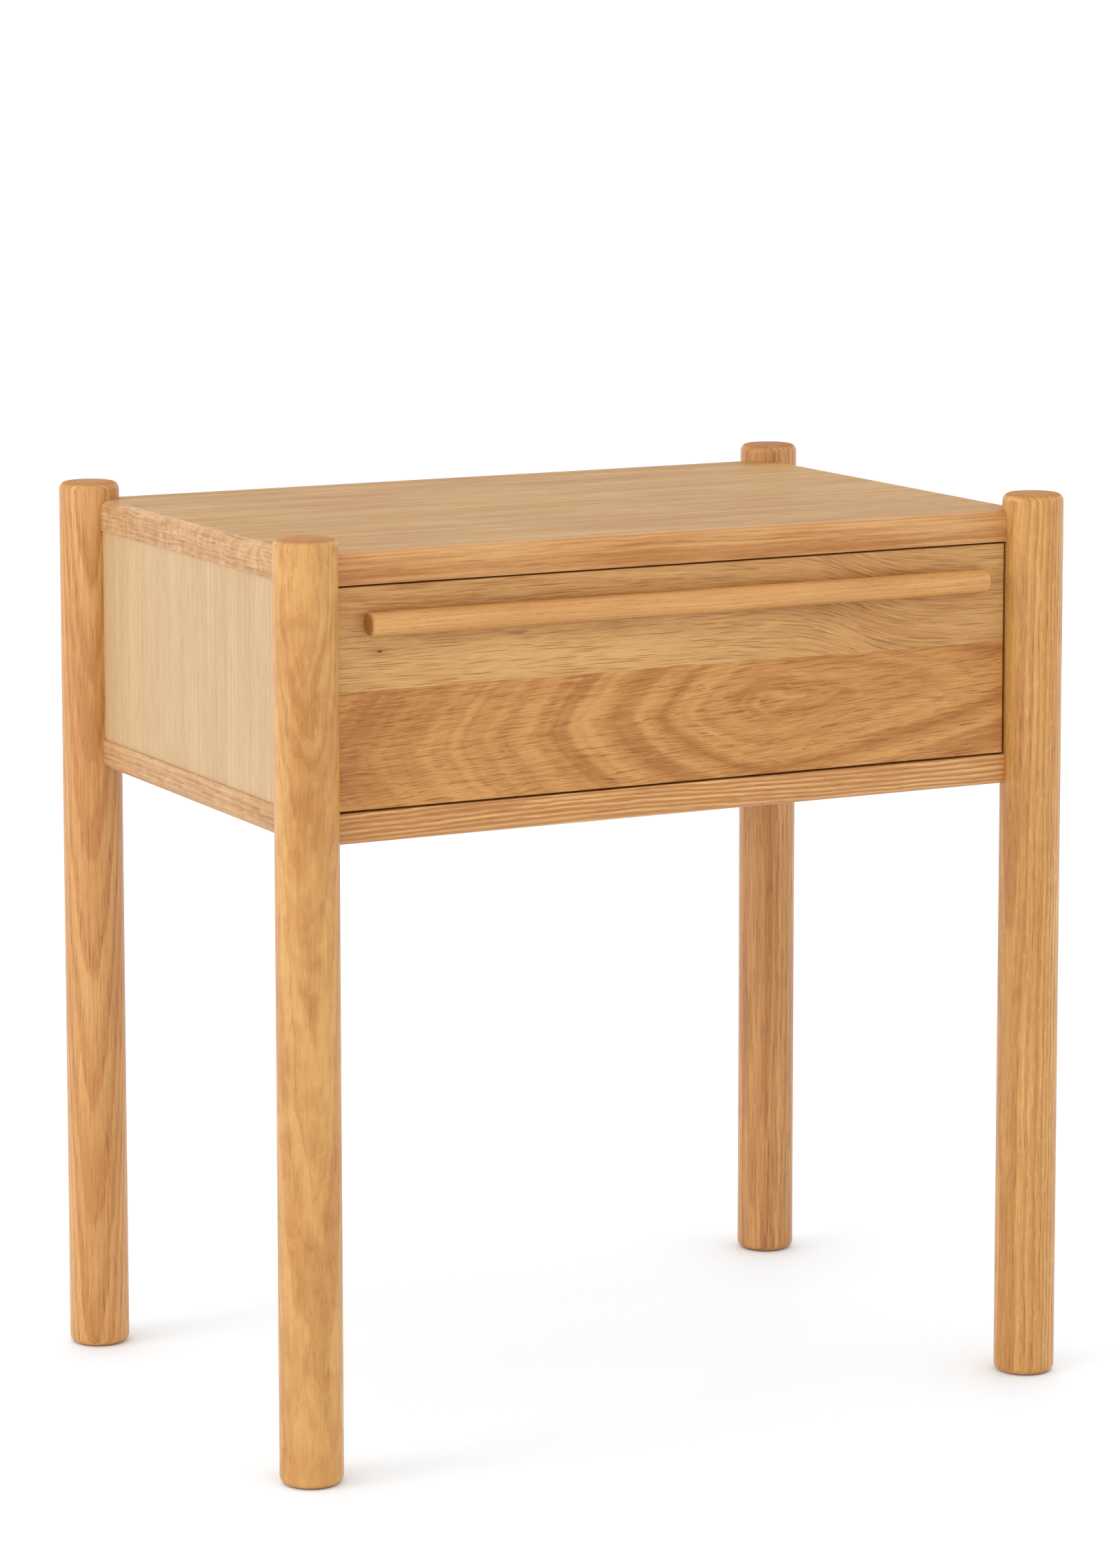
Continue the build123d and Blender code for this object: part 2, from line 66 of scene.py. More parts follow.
class Wire:
    """One number carried by a socket. Arithmetic on it adds Math nodes to its tree."""

    def __init__(self, graph: "Graph", socket: NodeSocket) -> None:
        """Keep the tree and the socket that carries the number."""
        self.graph = graph
        self.socket = socket

    @staticmethod
    def _operator(operation: str, swapped: bool = False) -> "Callable[[Wire, Number], Wire]":
        """The method behind one arithmetic sign; swapped puts the wire on the right."""

        def apply(wire: "Wire", other: "Number") -> "Wire":
            """Join the wire and the other value."""
            return wire.graph.math(operation, *((other, wire) if swapped else (wire, other)))

        return apply

    __add__ = __radd__ = _operator("ADD")
    __mul__ = __rmul__ = _operator("MULTIPLY")
    __sub__ = _operator("SUBTRACT")
    __rsub__ = _operator("SUBTRACT", swapped=True)
    __truediv__ = _operator("DIVIDE")
    __pow__ = _operator("POWER")

    def __abs__(self) -> "Wire":
        """Absolute value."""
        return self.graph.math("ABSOLUTE", self)

    def clamped(self) -> "Wire":
        """The value held between 0 and 1."""
        return self.graph.math("MINIMUM", self.graph.math("MAXIMUM", self, 0.0), 1.0)


Number = Union[Wire, float, int]


class Graph:
    """A node tree that is written as expressions."""

    def __init__(self, tree: bpy.types.NodeTree) -> None:
        """Args:
        tree: The tree that nodes are added to.
        """
        self.tree = tree

    def node(self, kind: str, inputs: dict | None = None, settings: dict | None = None) -> Node:
        """Add one node.

        Args:
            kind: The node's type, such as "ShaderNodeMath".
            inputs: Values or wires for its sockets, by name or number.
            settings: Its own properties, such as a Math node's operation, set first.

        Returns:
            The new node.
        """
        made = self.tree.nodes.new(kind)
        for key, value in (settings or {}).items():
            setattr(made, key, value)
        for key, value in (inputs or {}).items():
            if isinstance(value, Wire):
                value = value.socket
            if isinstance(value, NodeSocket):
                self.tree.links.new(value, made.inputs[key])
            else:
                made.inputs[key].default_value = value
        return made

    def wire(self, node: Node, output: int | str = 0) -> Wire:
        """One output of a node, ready for arithmetic."""
        return Wire(self, node.outputs[output])

    def math(self, operation: str, *values: Number) -> Wire:
        """Add one Math node.

        Args:
            operation: The Math node's operation.
            values: Its inputs, in order.

        Returns:
            Its result.
        """
        inputs = dict(enumerate(values))
        return self.wire(self.node("ShaderNodeMath", inputs, {"operation": operation}))

    def vector(self, x: Number, y: Number, z: Number) -> NodeSocket:
        """A vector from three numbers."""
        return self.node("ShaderNodeCombineXYZ", {0: x, 1: y, 2: z}).outputs[0]

    def split(self, socket: NodeSocket) -> tuple[Wire, Wire, Wire]:
        """A vector's three numbers."""
        parts = self.node("ShaderNodeSeparateXYZ", {0: socket})
        return self.wire(parts, 0), self.wire(parts, 1), self.wire(parts, 2)

    def smooth(self, value: Number, start: float, end: float) -> Wire:
        """0 before start, 1 after end and a smooth rise between, or a fall if end comes first."""
        low, high, first, last = (start, end, 0.0, 1.0) if start < end else (end, start, 1.0, 0.0)
        inputs = {0: value, 1: low, 2: high, 3: first, 4: last}
        settings = {"interpolation_type": "SMOOTHSTEP"}
        return self.wire(self.node("ShaderNodeMapRange", inputs, settings))


class Surface(Graph):
    """A material's tree, ending in one Principled shader."""

    def __init__(self, name: str) -> None:
        """Args:
        name: The material's name.
        """
        self.material = bpy.data.materials.new(name)
        self.material.use_nodes = True
        super().__init__(self.material.node_tree)
        self.shader = self.tree.nodes["Principled BSDF"]
        self.places = self.node("ShaderNodeTexCoord")

    def place_mm(self) -> tuple[Wire, Wire, Wire]:
        """The point's object coordinates."""
        inputs = {0: self.places.outputs["Object"], 3: (1 / MM,) * 3}
        return self.split(self.node("ShaderNodeMapping", inputs).outputs[0])

    def normal(self) -> tuple[Wire, Wire, Wire]:
        """The surface's direction, in the object's own axes."""
        return self.split(self.places.outputs["Normal"])

    def noise(
        self, place: Sequence[Number], detail: float = 2.0, rough: float = 0.5, bend: float = 0.0
    ) -> Wire:
        """Soft noise of about 0.2 to 0.8.

        Args:
            place: Where to read it; one unit is about one blotch.
            detail: How many finer layers it has.
            rough: How strong those are.
            bend: How far it is warped by itself.

        Returns:
            The noise as one number.
        """
        inputs = {"Vector": self.vector(*place), "Scale": 1.0}
        inputs |= {"Detail": detail, "Roughness": rough, "Distortion": bend}
        return self.wire(self.node("ShaderNodeTexNoise", inputs, {"noise_dimensions": "3D"}), 0)

    def swing(self, place: Sequence[Number], *character: float) -> Wire:
        """The same noise swinging about 0; the arguments are those of noise."""
        return self.noise(place, *character) - 0.5

    def nearest(self, place: Sequence[Number]) -> Wire:
        """Distance to the nearest of a scatter of points, about one to each unit cube."""
        inputs = {"Vector": self.vector(*place), "Scale": 1.0, "Randomness": 1.0}
        return self.wire(self.node("ShaderNodeTexVoronoi", inputs, {"feature": "F1"}), "Distance")

    def mix(self, factor: Number, low: "Paint", high: "Paint") -> NodeSocket:
        """Blend two colours: low at 0 and high at 1."""
        ends = {6: low, 7: high}
        inputs = {k: (*v, 1.0) if isinstance(v, tuple) else v for k, v in ends.items()}
        return self.node("ShaderNodeMix", {0: factor, **inputs}, {"data_type": "RGBA"}).outputs[2]

    def finish(
        self,
        colour: NodeSocket,
        roughness: Wire,
        height: Wire,
        relief_mm: float,
        constants: dict[str, float],
    ) -> Material:
        """Join the colour, roughness and relief to the shader.

        Args:
            colour: The base colour.
            roughness: The roughness.
            height: The relief, from 0 to about 1.
            relief_mm: How deep one unit of relief is.
            constants: Numbers that are the same all over, by the shader socket's name.

        Returns:
            The finished material.
        """
        inputs = {"Distance": relief_mm * MM, "Strength": 1.0, "Height": height}
        bump = self.node("ShaderNodeBump", inputs)
        self.tree.links.new(colour, self.shader.inputs["Base Color"])
        self.tree.links.new(roughness.socket, self.shader.inputs["Roughness"])
        self.tree.links.new(bump.outputs[0], self.shader.inputs["Normal"])
        for key, value in constants.items():
            self.shader.inputs[key].default_value = value
        return self.material


Paint = Union[Colour, NodeSocket]


# ---- finishes


LACQUER_IOR = 1.46


def tinted(colour: Colour, tint: Colour) -> Colour:
    """A colour times a tint, channel by channel, and never above 1."""
    return tuple(min(1.0, c * k) for c, k in zip(colour, tint))


class Grain(Enum):
    """The way a piece's fibres run, as an axis of the frame."""

    ACROSS = 0
    DEEP = 1
    UP = 2

    def order(self, parts: Sequence[Wire]) -> tuple[Wire, Wire, Wire]:
        """Put the number along the grain first and the two across it after, in axis order."""
        rest = [p for i, p in enumerate(parts) if i != self.value]
        return parts[self.value], rest[0], rest[1]


@dataclass(frozen=True)
class Knot:
    """A pin knot on one face: its place along and across the grain and its size, in mm."""

    along: float
    across: float
    radius: float = 1.6


@dataclass(frozen=True)
class Sweep:
    """A stretch where the grain drifts sideways: its middle, half length and drift, in mm."""

    along: float
    reach: float
    drift: float


@dataclass(frozen=True)
class Swirl:
    """A dome in the growth rings, which a saw shows as closed ovals.

    Lean is how much the ovals' long axis climbs. Before and after squeeze the rings along the grain
    on either side of the middle. Point is 2 for true ovals and less for pointed ones. Bow is how
    far the fibres bulge round it.
    """

    along: float
    across: float
    lean: float
    before: float
    after: float
    reach: float
    bow: float
    face: float
    point: float = 1.35


@dataclass(frozen=True)
class ToneAndHighlightPatch:
    """A soft lighter or darker patch of the wood's tone, also used once as a painted highlight: its
    place and reach along and across the grain, in mm.
    """

    along: float
    across: float
    reach: float
    width: float
    depth: float


@dataclass(frozen=True)
class Oak:
    """One sawn or sliced piece of oak, told by where it sat in its log.

    Places across the grain are in axis order. A patch, knot or swirl is placed by the second.
    """

    name: str
    grain: Grain
    pith: Pair
    pale: Colour
    deep: Colour
    tilt: Pair = (0.0, 0.0)
    slope: float = 0.0
    ring: float = 3.2
    banding: float = 0.35
    early: float = 0.35
    mottle: float = 0.4
    wander: float = 7.0
    ripple: float = 1.0
    streaks: float = 0.5
    streak_width: float = 1.5
    streak_length: float = 60.0
    pores: float = 0.55
    pore_length: float = 18.0
    pore_width: float = 1.3
    pore_spread: float = 0.5
    figure: float = 0.0
    figure_length: float = 16.0
    flecks: float = 0.0
    relief: float = 0.06
    roughness: float = 0.46
    sheen_level: float = 0.36
    end_tone: float = 0.5
    worn_edges: float = 0.12
    seed: float = 0.0
    knot: Knot | None = None
    sweep: Sweep | None = None
    swirl: Swirl | None = None
    tone_and_highlight_patches: tuple[ToneAndHighlightPatch, ...] = ()

    # Habits that every piece shares. The bends and the cloud are a noise's reach along and across
    # the grain in mm. Streaky and curly are a noise's detail, roughness and bend.
    SLOW_BEND = (260.0, 60.0)
    QUICK_BEND = (34.0, 9.0)
    CLOUD = (120.0, 20.0)
    STREAKY = (4.0, 0.68)
    CURLY = (2.0, 0.5, 0.6)
    BLOTCH_WIDTH = 11.0
    SEED_SHIFT = 37.0
    FAR_APART = 31.7
    TURNING = (-25.0, 45.0)
    PORE_SHIFT = 17.0
    PORE_RIM = 0.34
    PORE_HEART = 0.18
    MID_TONE = 0.58
    PORE_TINT = (0.54, 0.36, 0.28)
    KNOT_TINT = (0.22, 0.22, 0.22)
    END_TINT = (0.62, 0.5, 0.42)
    RUBBED_TINT = (1.12, 1.12, 1.12)

    def make(self) -> Material:
        """Build the finish's material."""
        s = Surface(self.name)
        along, a, b = self.grain.order(s.place_mm())
        bent = self._bent(s, along, b)
        far = along + self.seed * self.SEED_SHIFT
        length, width = self.SLOW_BEND
        slow_a = s.swing((far / length, a / width, b / width), 1.0)
        slow_b = s.swing((far / length + self.FAR_APART, a / width, b / width), 1.0)
        length, width = self.QUICK_BEND
        quick = s.swing((far / length, a / width, b / width + self.seed), 2.0)
        flow_a = a + self.wander * slow_a + self.ripple * quick
        flow_b = bent + self.wander * slow_b + self.ripple * quick
        from_a = flow_a - self.pith[0] - self.tilt[0] * along
        from_b = flow_b - self.pith[1] - self.tilt[1] * along
        if self.swirl:
            radius = self._dome(s, along, a, b) + self.wander * slow_a + 2.0 * self.ripple * quick
        else:
            radius = s.math("SQRT", from_a * from_a + from_b * from_b)
        early, ring_tone = self._rings(s, radius)
        pores = self._pores(s, far, flow_a, flow_b, early)
        length, width = self.streak_length, self.streak_width
        streaks = s.swing((far / length, flow_a / width, flow_b / width), *self.STREAKY)
        length, width = self.CLOUD
        mottle = s.swing((far / length, flow_a / width, flow_b / width + self.seed), 2.0)
        tone = self.MID_TONE + 2.0 * self.mottle * mottle
        tone = tone + self.banding * ring_tone - self.early * early
        tone = tone + 2.0 * self.streaks * streaks
        if self.figure:
            length, width = self.figure_length, self.BLOTCH_WIDTH
            blotch = s.swing((far / length, a / width, b / width), *self.CURLY)
            tone = tone + 2.0 * self.figure * blotch
        if self.flecks:
            tone = tone + self.flecks * self._ray_flecks(s, far, from_a, from_b, radius)
        for patch in self.tone_and_highlight_patches:
            tone = tone + self._patch(s, patch, along, b)
        colour = s.mix(tone.clamped(), self.deep, self.pale)
        colour = s.mix(pores * self.pores, colour, tinted(self.deep, self.PORE_TINT))
        if self.knot:
            colour = self._darken_knot(s, colour, along, b)
        end = s.smooth(abs(s.normal()[self.grain.value]), 0.55, 0.95)
        colour = self._age(s, colour, end, far, a, b)
        roughness = self.roughness + 0.14 * pores - 0.12 * mottle + 0.45 * end
        height = 0.75 + 0.3 * streaks - 0.6 * pores - 0.1 * early
        constants = {"IOR": LACQUER_IOR, "Specular IOR Level": self.sheen_level}
        return s.finish(colour, roughness, height, self.relief, constants)

    def _bent(self, s: Surface, along: Wire, across: Wire) -> Wire:
        """Where a fibre would be across the grain if it ran straight."""
        bent = across - self.slope * along
        if self.sweep:
            way = (along - self.sweep.along) / self.sweep.reach
            bent = bent - self.sweep.drift * s.math("TANH", way)
        if self.swirl:
            u = (along - self.swirl.along) / self.swirl.reach
            v = (across - self.swirl.across) / (0.4 * self.swirl.reach)
            bent = bent - self.swirl.bow * v * s.math("EXPONENT", -1.0 * (u * u + v * v))
        return bent

    def _dome(self, s: Surface, along: Wire, depth: Wire, across: Wire) -> Wire:
        """Distance from the middle of the swirl, squeezed along the grain."""
        u = along - self.swirl.along
        v = across - self.swirl.across - self.swirl.lean * u
        change = self.swirl.after - self.swirl.before
        squeeze = self.swirl.before + change * s.smooth(u, *self.TURNING)
        point = self.swirl.point
        flat = abs(u * squeeze) ** point + abs(v) ** point
        flat = flat ** (2.0 / point)
        deep = (depth - self.swirl.face) * 1.2
        return s.math("SQRT", flat + deep * deep)

    def _rings(self, s: Surface, radius: Wire) -> tuple[Wire, Wire]:
        """Growth rings.

        Args:
            s: The material being built.
            radius: Distance from the pith.

        Returns:
            How far the point is into the open-pored early wood, and its ring's own tone about 0.
        """
        rings_to_a_change = 5.0
        most_drift = 2.2
        drift = s.noise((radius / (self.ring * rings_to_a_change), self.seed, 0.5), 1.0)
        ring = radius / self.ring + most_drift * drift
        phase = s.math("FRACT", ring)
        early = s.smooth(phase, 0.0, 0.14) * s.smooth(phase, 0.8, 0.2)
        ring_tone = s.swing((ring / 1.5, self.seed + 8.0, 0.5), 1.5)
        return early, ring_tone * 3.0

    def _pores(self, s: Surface, along: Wire, a: Wire, b: Wire, early: Wire) -> Wire:
        """Short dark vessel lines of two sizes, crowded in the early wood."""
        lines = 0.0
        for size, depth in ((1.0, 1.0), (0.55, 0.6)):
            length, width = self.pore_length * size, self.pore_width * size
            place = (along / length + self.PORE_SHIFT * size, a / width, b / width)
            lines = depth * s.smooth(s.nearest(place), self.PORE_RIM, self.PORE_HEART) + lines
        crowd = self.pore_spread + (1.0 - self.pore_spread) * early
        return lines.clamped() * crowd

    def _ray_flecks(self, s: Surface, along: Wire, a: Wire, b: Wire, radius: Wire) -> Wire:
        """Pale flakes where the wood's rays come to the surface."""
        turn = s.math("ARCTAN2", b, a) * math.degrees(1.0)
        flakes = s.noise((along / 7.0, turn / 0.9, radius / 8.0), 1.0, 0.5)
        return s.smooth(flakes, 0.60, 0.70)

    def _patch(self, s: Surface, patch: ToneAndHighlightPatch, along: Wire, across: Wire) -> Wire:
        """One soft patch's share of the tone."""
        u = (along - patch.along) / patch.reach
        v = (across - patch.across - self.slope * along) / patch.width
        return patch.depth * s.math("EXPONENT", -1.0 * (u * u + v * v))

    def _darken_knot(
        self, s: Surface, colour: NodeSocket, along: Wire, across: Wire
    ) -> NodeSocket:
        """Lay the pin knot's dark heart and its faint halo on the colour."""
        u = along - self.knot.along
        v = across - self.knot.across
        away = s.math("SQRT", u * u * 0.5 + v * v * 3.6)
        halo = s.smooth(away, 4.2 * self.knot.radius, self.knot.radius) * 0.45
        heart = s.smooth(away, 1.15 * self.knot.radius, 0.55 * self.knot.radius) * 0.9
        colour = s.mix(halo, colour, self.deep)
        return s.mix(heart, colour, tinted(self.deep, self.KNOT_TINT))

    def _age(
        self, s: Surface, colour: NodeSocket, end: Wire, along: Wire, a: Wire, b: Wire
    ) -> NodeSocket:
        """Darken end grain, which drinks more oil, and rub the eased edges a little paler."""
        pitted = 0.55 + 0.9 * s.noise((along / 3.0, a / 0.9, b / 0.9), 2.0, 0.6)
        oiled = (end * (1.0 - self.end_tone) * pitted).clamped()
        colour = s.mix(oiled, colour, tinted(self.deep, self.END_TINT))
        if self.worn_edges:
            facing = s.normal()
            flat = s.math("MAXIMUM", abs(facing[0]), abs(facing[1]))
            flat = s.math("MAXIMUM", flat, abs(facing[2]))
            patchy = 0.6 + 0.8 * s.noise((along / 20.0, a / 6.0, b / 6.0), 2.0)
            rub = s.smooth(flat, 0.985, 0.80) * patchy * self.worn_edges
            colour = s.mix(rub.clamped(), colour, tinted(self.pale, self.RUBBED_TINT))
        return colour


@dataclass(frozen=True)
class Plywood:
    """Birch plywood: pale faces, and crossed plies on its edges.

    The plies are an odd number, so that both faces run the same way.
    """

    name: str
    through: Grain
    face_at: float
    thickness: float = 12.0
    plies: int = 9
    pale: Colour = (0.66, 0.50, 0.31)
    deep: Colour = (0.50, 0.33, 0.17)
    glue: Colour = (0.22, 0.12, 0.055)
    relief: float = 0.06
    sheen_level: float = 0.4

    def make(self) -> Material:
        """Build the finish's material."""
        s = Surface(self.name)
        parts = s.place_mm()
        depth, a, b = self.through.order(parts)
        layer = abs(depth - self.face_at) * (self.plies / self.thickness)
        layer = s.math("MINIMUM", layer, self.plies - 0.01)
        crossed = s.smooth(s.math("PINGPONG", s.math("FLOOR", layer), 1.0), 0.4, 0.6)
        phase = s.math("FRACT", layer)
        inside = s.smooth(layer, 0.4, 0.6) * s.smooth(layer, self.plies - 0.4, self.plies - 0.6)
        seam = s.smooth(abs(phase - 0.5), 0.44, 0.5) * inside
        with_grain = s.noise((a / 60.0, b / 0.9, depth / 0.9), 3.0, 0.6)
        across_grain = s.noise((a / 0.5, b / 0.5, depth / 0.6), 3.0, 0.6)
        fibre = with_grain * (1.0 - crossed) + across_grain * crossed
        cloud = s.noise((a / 90.0, b / 18.0, depth / 9.0), 2.0, 0.5, 0.5)
        tone = (0.1 + 0.55 * fibre + 0.6 * cloud - 0.35 * crossed).clamped()
        colour = s.mix(tone, self.deep, self.pale)
        colour = s.mix(seam * 0.8, colour, self.glue)
        roughness = 0.42 + 0.18 * fibre
        height = 0.5 * fibre - 0.5 * seam
        constants = {"IOR": LACQUER_IOR, "Specular IOR Level": self.sheen_level}
        return s.finish(colour, roughness, height, self.relief, constants)


@dataclass(frozen=True)
class PlatedSteel:
    """Rolled or turned steel under a thin plating."""

    name: str
    colour: Colour
    stain: Colour
    roughness: float = 0.3
    streak: Triple = (2.0, 60.0, 2.0)
    relief: float = 0.02

    def make(self) -> Material:
        """Build the finish's material."""
        s = Surface(self.name)
        x, y, z = s.place_mm()
        rolled = s.noise((x / self.streak[0], y / self.streak[1], z / self.streak[2]), 4.0, 0.6)
        spangle = s.noise((x / 4.0, y / 4.0, z / 4.0), 2.0, 0.5, 1.2)
        scuff = s.smooth(s.noise((x / 0.6, y / 9.0, z / 0.6), 2.0, 0.7), 0.58, 0.66)
        tone = (0.15 + 0.8 * spangle + 0.3 * (rolled - 0.5)).clamped()
        colour = s.mix(tone, self.stain, self.colour)
        roughness = self.roughness + 0.22 * (rolled - 0.5) + 0.15 * scuff + 0.12 * (spangle - 0.5)
        height = 0.5 * rolled + 0.2 * scuff
        return s.finish(colour, roughness.clamped(), height, self.relief, {"Metallic": 1.0})


# ---- mesh making


WELD_MM = 0.004
FLAT_DEGREES = 0.6
SHARP_DEGREES = 35.0
ROUND_SHADING = 60.0
FLAT_SHADING = 30.0


def dress(piece: Object, material: Material) -> None:
    """Give a piece one material in place of any it has."""
    piece.data.materials.clear()
    piece.data.materials.append(material)


def dress_node(node: str, material: Material) -> None:
    """Give a CAD node a better material in each of its slots."""
    for slot in frame["nodes"][node].material_slots:
        slot.material = material
    log.info("%s keeps its CAD mesh, finished as %s", node, material.name)


def slot_of(node: str) -> str:
    """The record's material slot for a CAD node."""
    return next(s["material_slot"] for s in frame["record"]["subparts"] if s["node"] == node)


def body_of(node: str) -> str:
    """The body that a CAD node rides on."""
    return next(b for b, nodes in frame["record"]["behaviour"]["bodies"].items() if node in nodes)


def stand_in(piece: Object, node: str) -> None:
    """Hang a piece on its CAD node's body, in that node's place, and hide the node; the record's slot
    is looked up but not given to the piece.
    """
    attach(piece, body_of(node))
    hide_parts(node)
    slot_of(node)
    log.info("%s replaces %s: %d faces", piece.name, node, len(piece.data.polygons))


def new_object(name: str, data: bpy.types.ID) -> Object:
    """A new object in the scene that shows a mesh, or is a light or a camera."""
    piece = bpy.data.objects.new(name, data)
    bpy.context.scene.collection.objects.link(piece)
    return piece


def baked(piece: Object) -> Mesh:
    """The mesh that an object's modifiers make of it."""
    bpy.context.view_layer.update()
    graph = bpy.context.evaluated_depsgraph_get()
    return bpy.data.meshes.new_from_object(piece.evaluated_get(graph), depsgraph=graph)


def shade_smooth(mesh: Mesh, angle: float) -> None:
    """Shade a mesh smooth, with sharp edges where faces meet at more than an angle in degrees."""
    shape = bmesh.new()
    shape.from_mesh(mesh)
    for face in shape.faces:
        face.smooth = True
    most = math.radians(angle)
    for edge in shape.edges:
        edge.smooth = len(edge.link_faces) == 2 and edge.calc_face_angle(math.pi) < most
    shape.to_mesh(mesh)
    shape.free()


def eased_copy(node: str, material: Material, ease_mm: float) -> None:
    """A copy of a CAD node whose sharp edges are slightly rounded, as sanding leaves them.

    Args:
        node: The CAD node to copy and replace.
        material: The finish it gets.
        ease_mm: Width of the easing.
    """
    mesh = frame["nodes"][node].data.copy()
    shape = bmesh.new()
    shape.from_mesh(mesh)
    bmesh.ops.remove_doubles(shape, verts=shape.verts, dist=WELD_MM * MM)
    parts = {"verts": shape.verts, "edges": shape.edges}
    flat = math.radians(FLAT_DEGREES)
    bmesh.ops.dissolve_limit(shape, angle_limit=flat, delimit=set(), **parts)
    bmesh.ops.recalc_face_normals(shape, faces=shape.faces)
    shape.to_mesh(mesh)
    shape.free()
    piece = new_object(f"{node}_eased", mesh)
    bevel = piece.modifiers.new("ease", "BEVEL")
    bevel.width = ease_mm * MM
    bevel.segments = 3
    bevel.limit_method = "ANGLE"
    bevel.angle_limit = math.radians(SHARP_DEGREES)
    bevel.miter_outer = "MITER_ARC"
    bevel.use_clamp_overlap = True
    finished = baked(piece)
    piece.modifiers.clear()
    piece.data = finished
    shade_smooth(finished, FLAT_SHADING)
    dress(piece, material)
    stand_in(piece, node)


class Form(Graph):
    """A Geometry Nodes tree with named inputs, run once and then made a plain mesh."""

    def __init__(self, name: str, **inputs: Sequence[str]) -> None:
        """Args:
        name: The tree's name.
        inputs: The names of its inputs, by kind: Float, Int or Vector. Finish is added.
        """
        tree = bpy.data.node_groups.new(name, "GeometryNodeTree")
        super().__init__(tree)
        self.keys = {}
        for kind, keys in {**inputs, "Material": ("Finish",)}.items():
            for key in keys:
                socket = tree.interface.new_socket(key, socket_type=f"NodeSocket{kind}")
                self.keys[key] = socket.identifier
        tree.interface.new_socket("Geometry", in_out="OUTPUT", socket_type="NodeSocketGeometry")
        self.given = self.node("NodeGroupInput")

    def value(self, key: str) -> Wire:
        """One named input as a number."""
        return self.wire(self.given, key)

    def geo(self, kind: str, *details: dict) -> NodeSocket:
        """Add a geometry node by the end of its type, and give its first output."""
        return self.node(f"GeometryNode{kind}", *details).outputs[0]

    def join(self, *parts: NodeSocket) -> NodeSocket:
        """Several geometries as one, in this order."""
        whole = self.node("GeometryNodeJoinGeometry")
        for part in parts:
            self.tree.links.new(part, whole.inputs[0])
        return whole.outputs[0]

    def end(self, geometry: NodeSocket) -> None:
        """Finish the tree: instances made real, then the finish."""
        real = self.geo("RealizeInstances", {0: geometry})
        paint = {0: real, "Material": self.given.outputs["Finish"]}
        self.node("NodeGroupOutput", {0: self.geo("SetMaterial", paint)})

    def shape(self, name: str, values: dict) -> Object:
        """Run the tree once.

        Args:
            name: The new piece's name.
            values: A value for each named input.

        Returns:
            A piece with a plain mesh and no modifier.
        """
        holder = new_object(name, bpy.data.meshes.new(name))
        modifier = holder.modifiers.new("form", "NODES")
        modifier.node_group = self.tree
        for key, value in values.items():
            modifier[self.keys[key]] = value
        mesh = baked(holder)
        holder.modifiers.clear()
        holder.data = mesh
        return holder


# ---- the pieces


END_STEPS = 8


def lathe() -> Form:
    """The rule for a turned rod: a circle swept up a line, with a quarter round at both ends."""
    form = Form("turned_rod", Float=("Radius", "Length", "End round"), Int=("Steps", "Facets"))
    steps = form.value("Steps")
    last = steps * 2.0 + 1.0
    line = form.geo("MeshLine", {"Count": last + 1.0})
    index = form.wire(form.node("GeometryNodeInputIndex"))
    upper = form.math("GREATER_THAN", index, steps)
    nearer = form.math("MINIMUM", index, last - index)
    turn = nearer / steps * (math.pi / 2)
    end_round = form.value("End round")
    rise = end_round * (1.0 - form.math("COSINE", turn))
    height = rise + upper * (form.value("Length") - 2.0 * rise)
    radius = form.value("Radius") - end_round * (1.0 - form.math("SINE", turn))
    place = form.vector(0.0, 0.0, height)
    path = form.geo("MeshToCurve", {0: form.geo("SetPosition", {0: line, "Position": place})})
    ring = form.geo("CurvePrimitiveCircle", {"Resolution": form.value("Facets"), "Radius": 1.0})
    sweep = {0: path, 1: ring, "Scale": radius, "Fill Caps": True}
    form.end(form.geo("CurveToMesh", sweep))
    return form


def turned(name: str, lengths: Triple, facets: int, finish: Material) -> Object:
    """Turn one rod that stands on the origin.

    Args:
        name: The new piece's name.
        lengths: Its radius, its length and the radius of its end rounding, in millimetres.
        facets: How many sides it has round its axis.
        finish: Its material.

    Returns:
        The rod.
    """
    radius, length, end_round = (size * MM for size in lengths)
    sizes = {"Radius": radius, "Length": length, "End round": end_round}
    return lathe().shape(name, {**sizes, "Steps": END_STEPS, "Facets": facets, "Finish": finish})


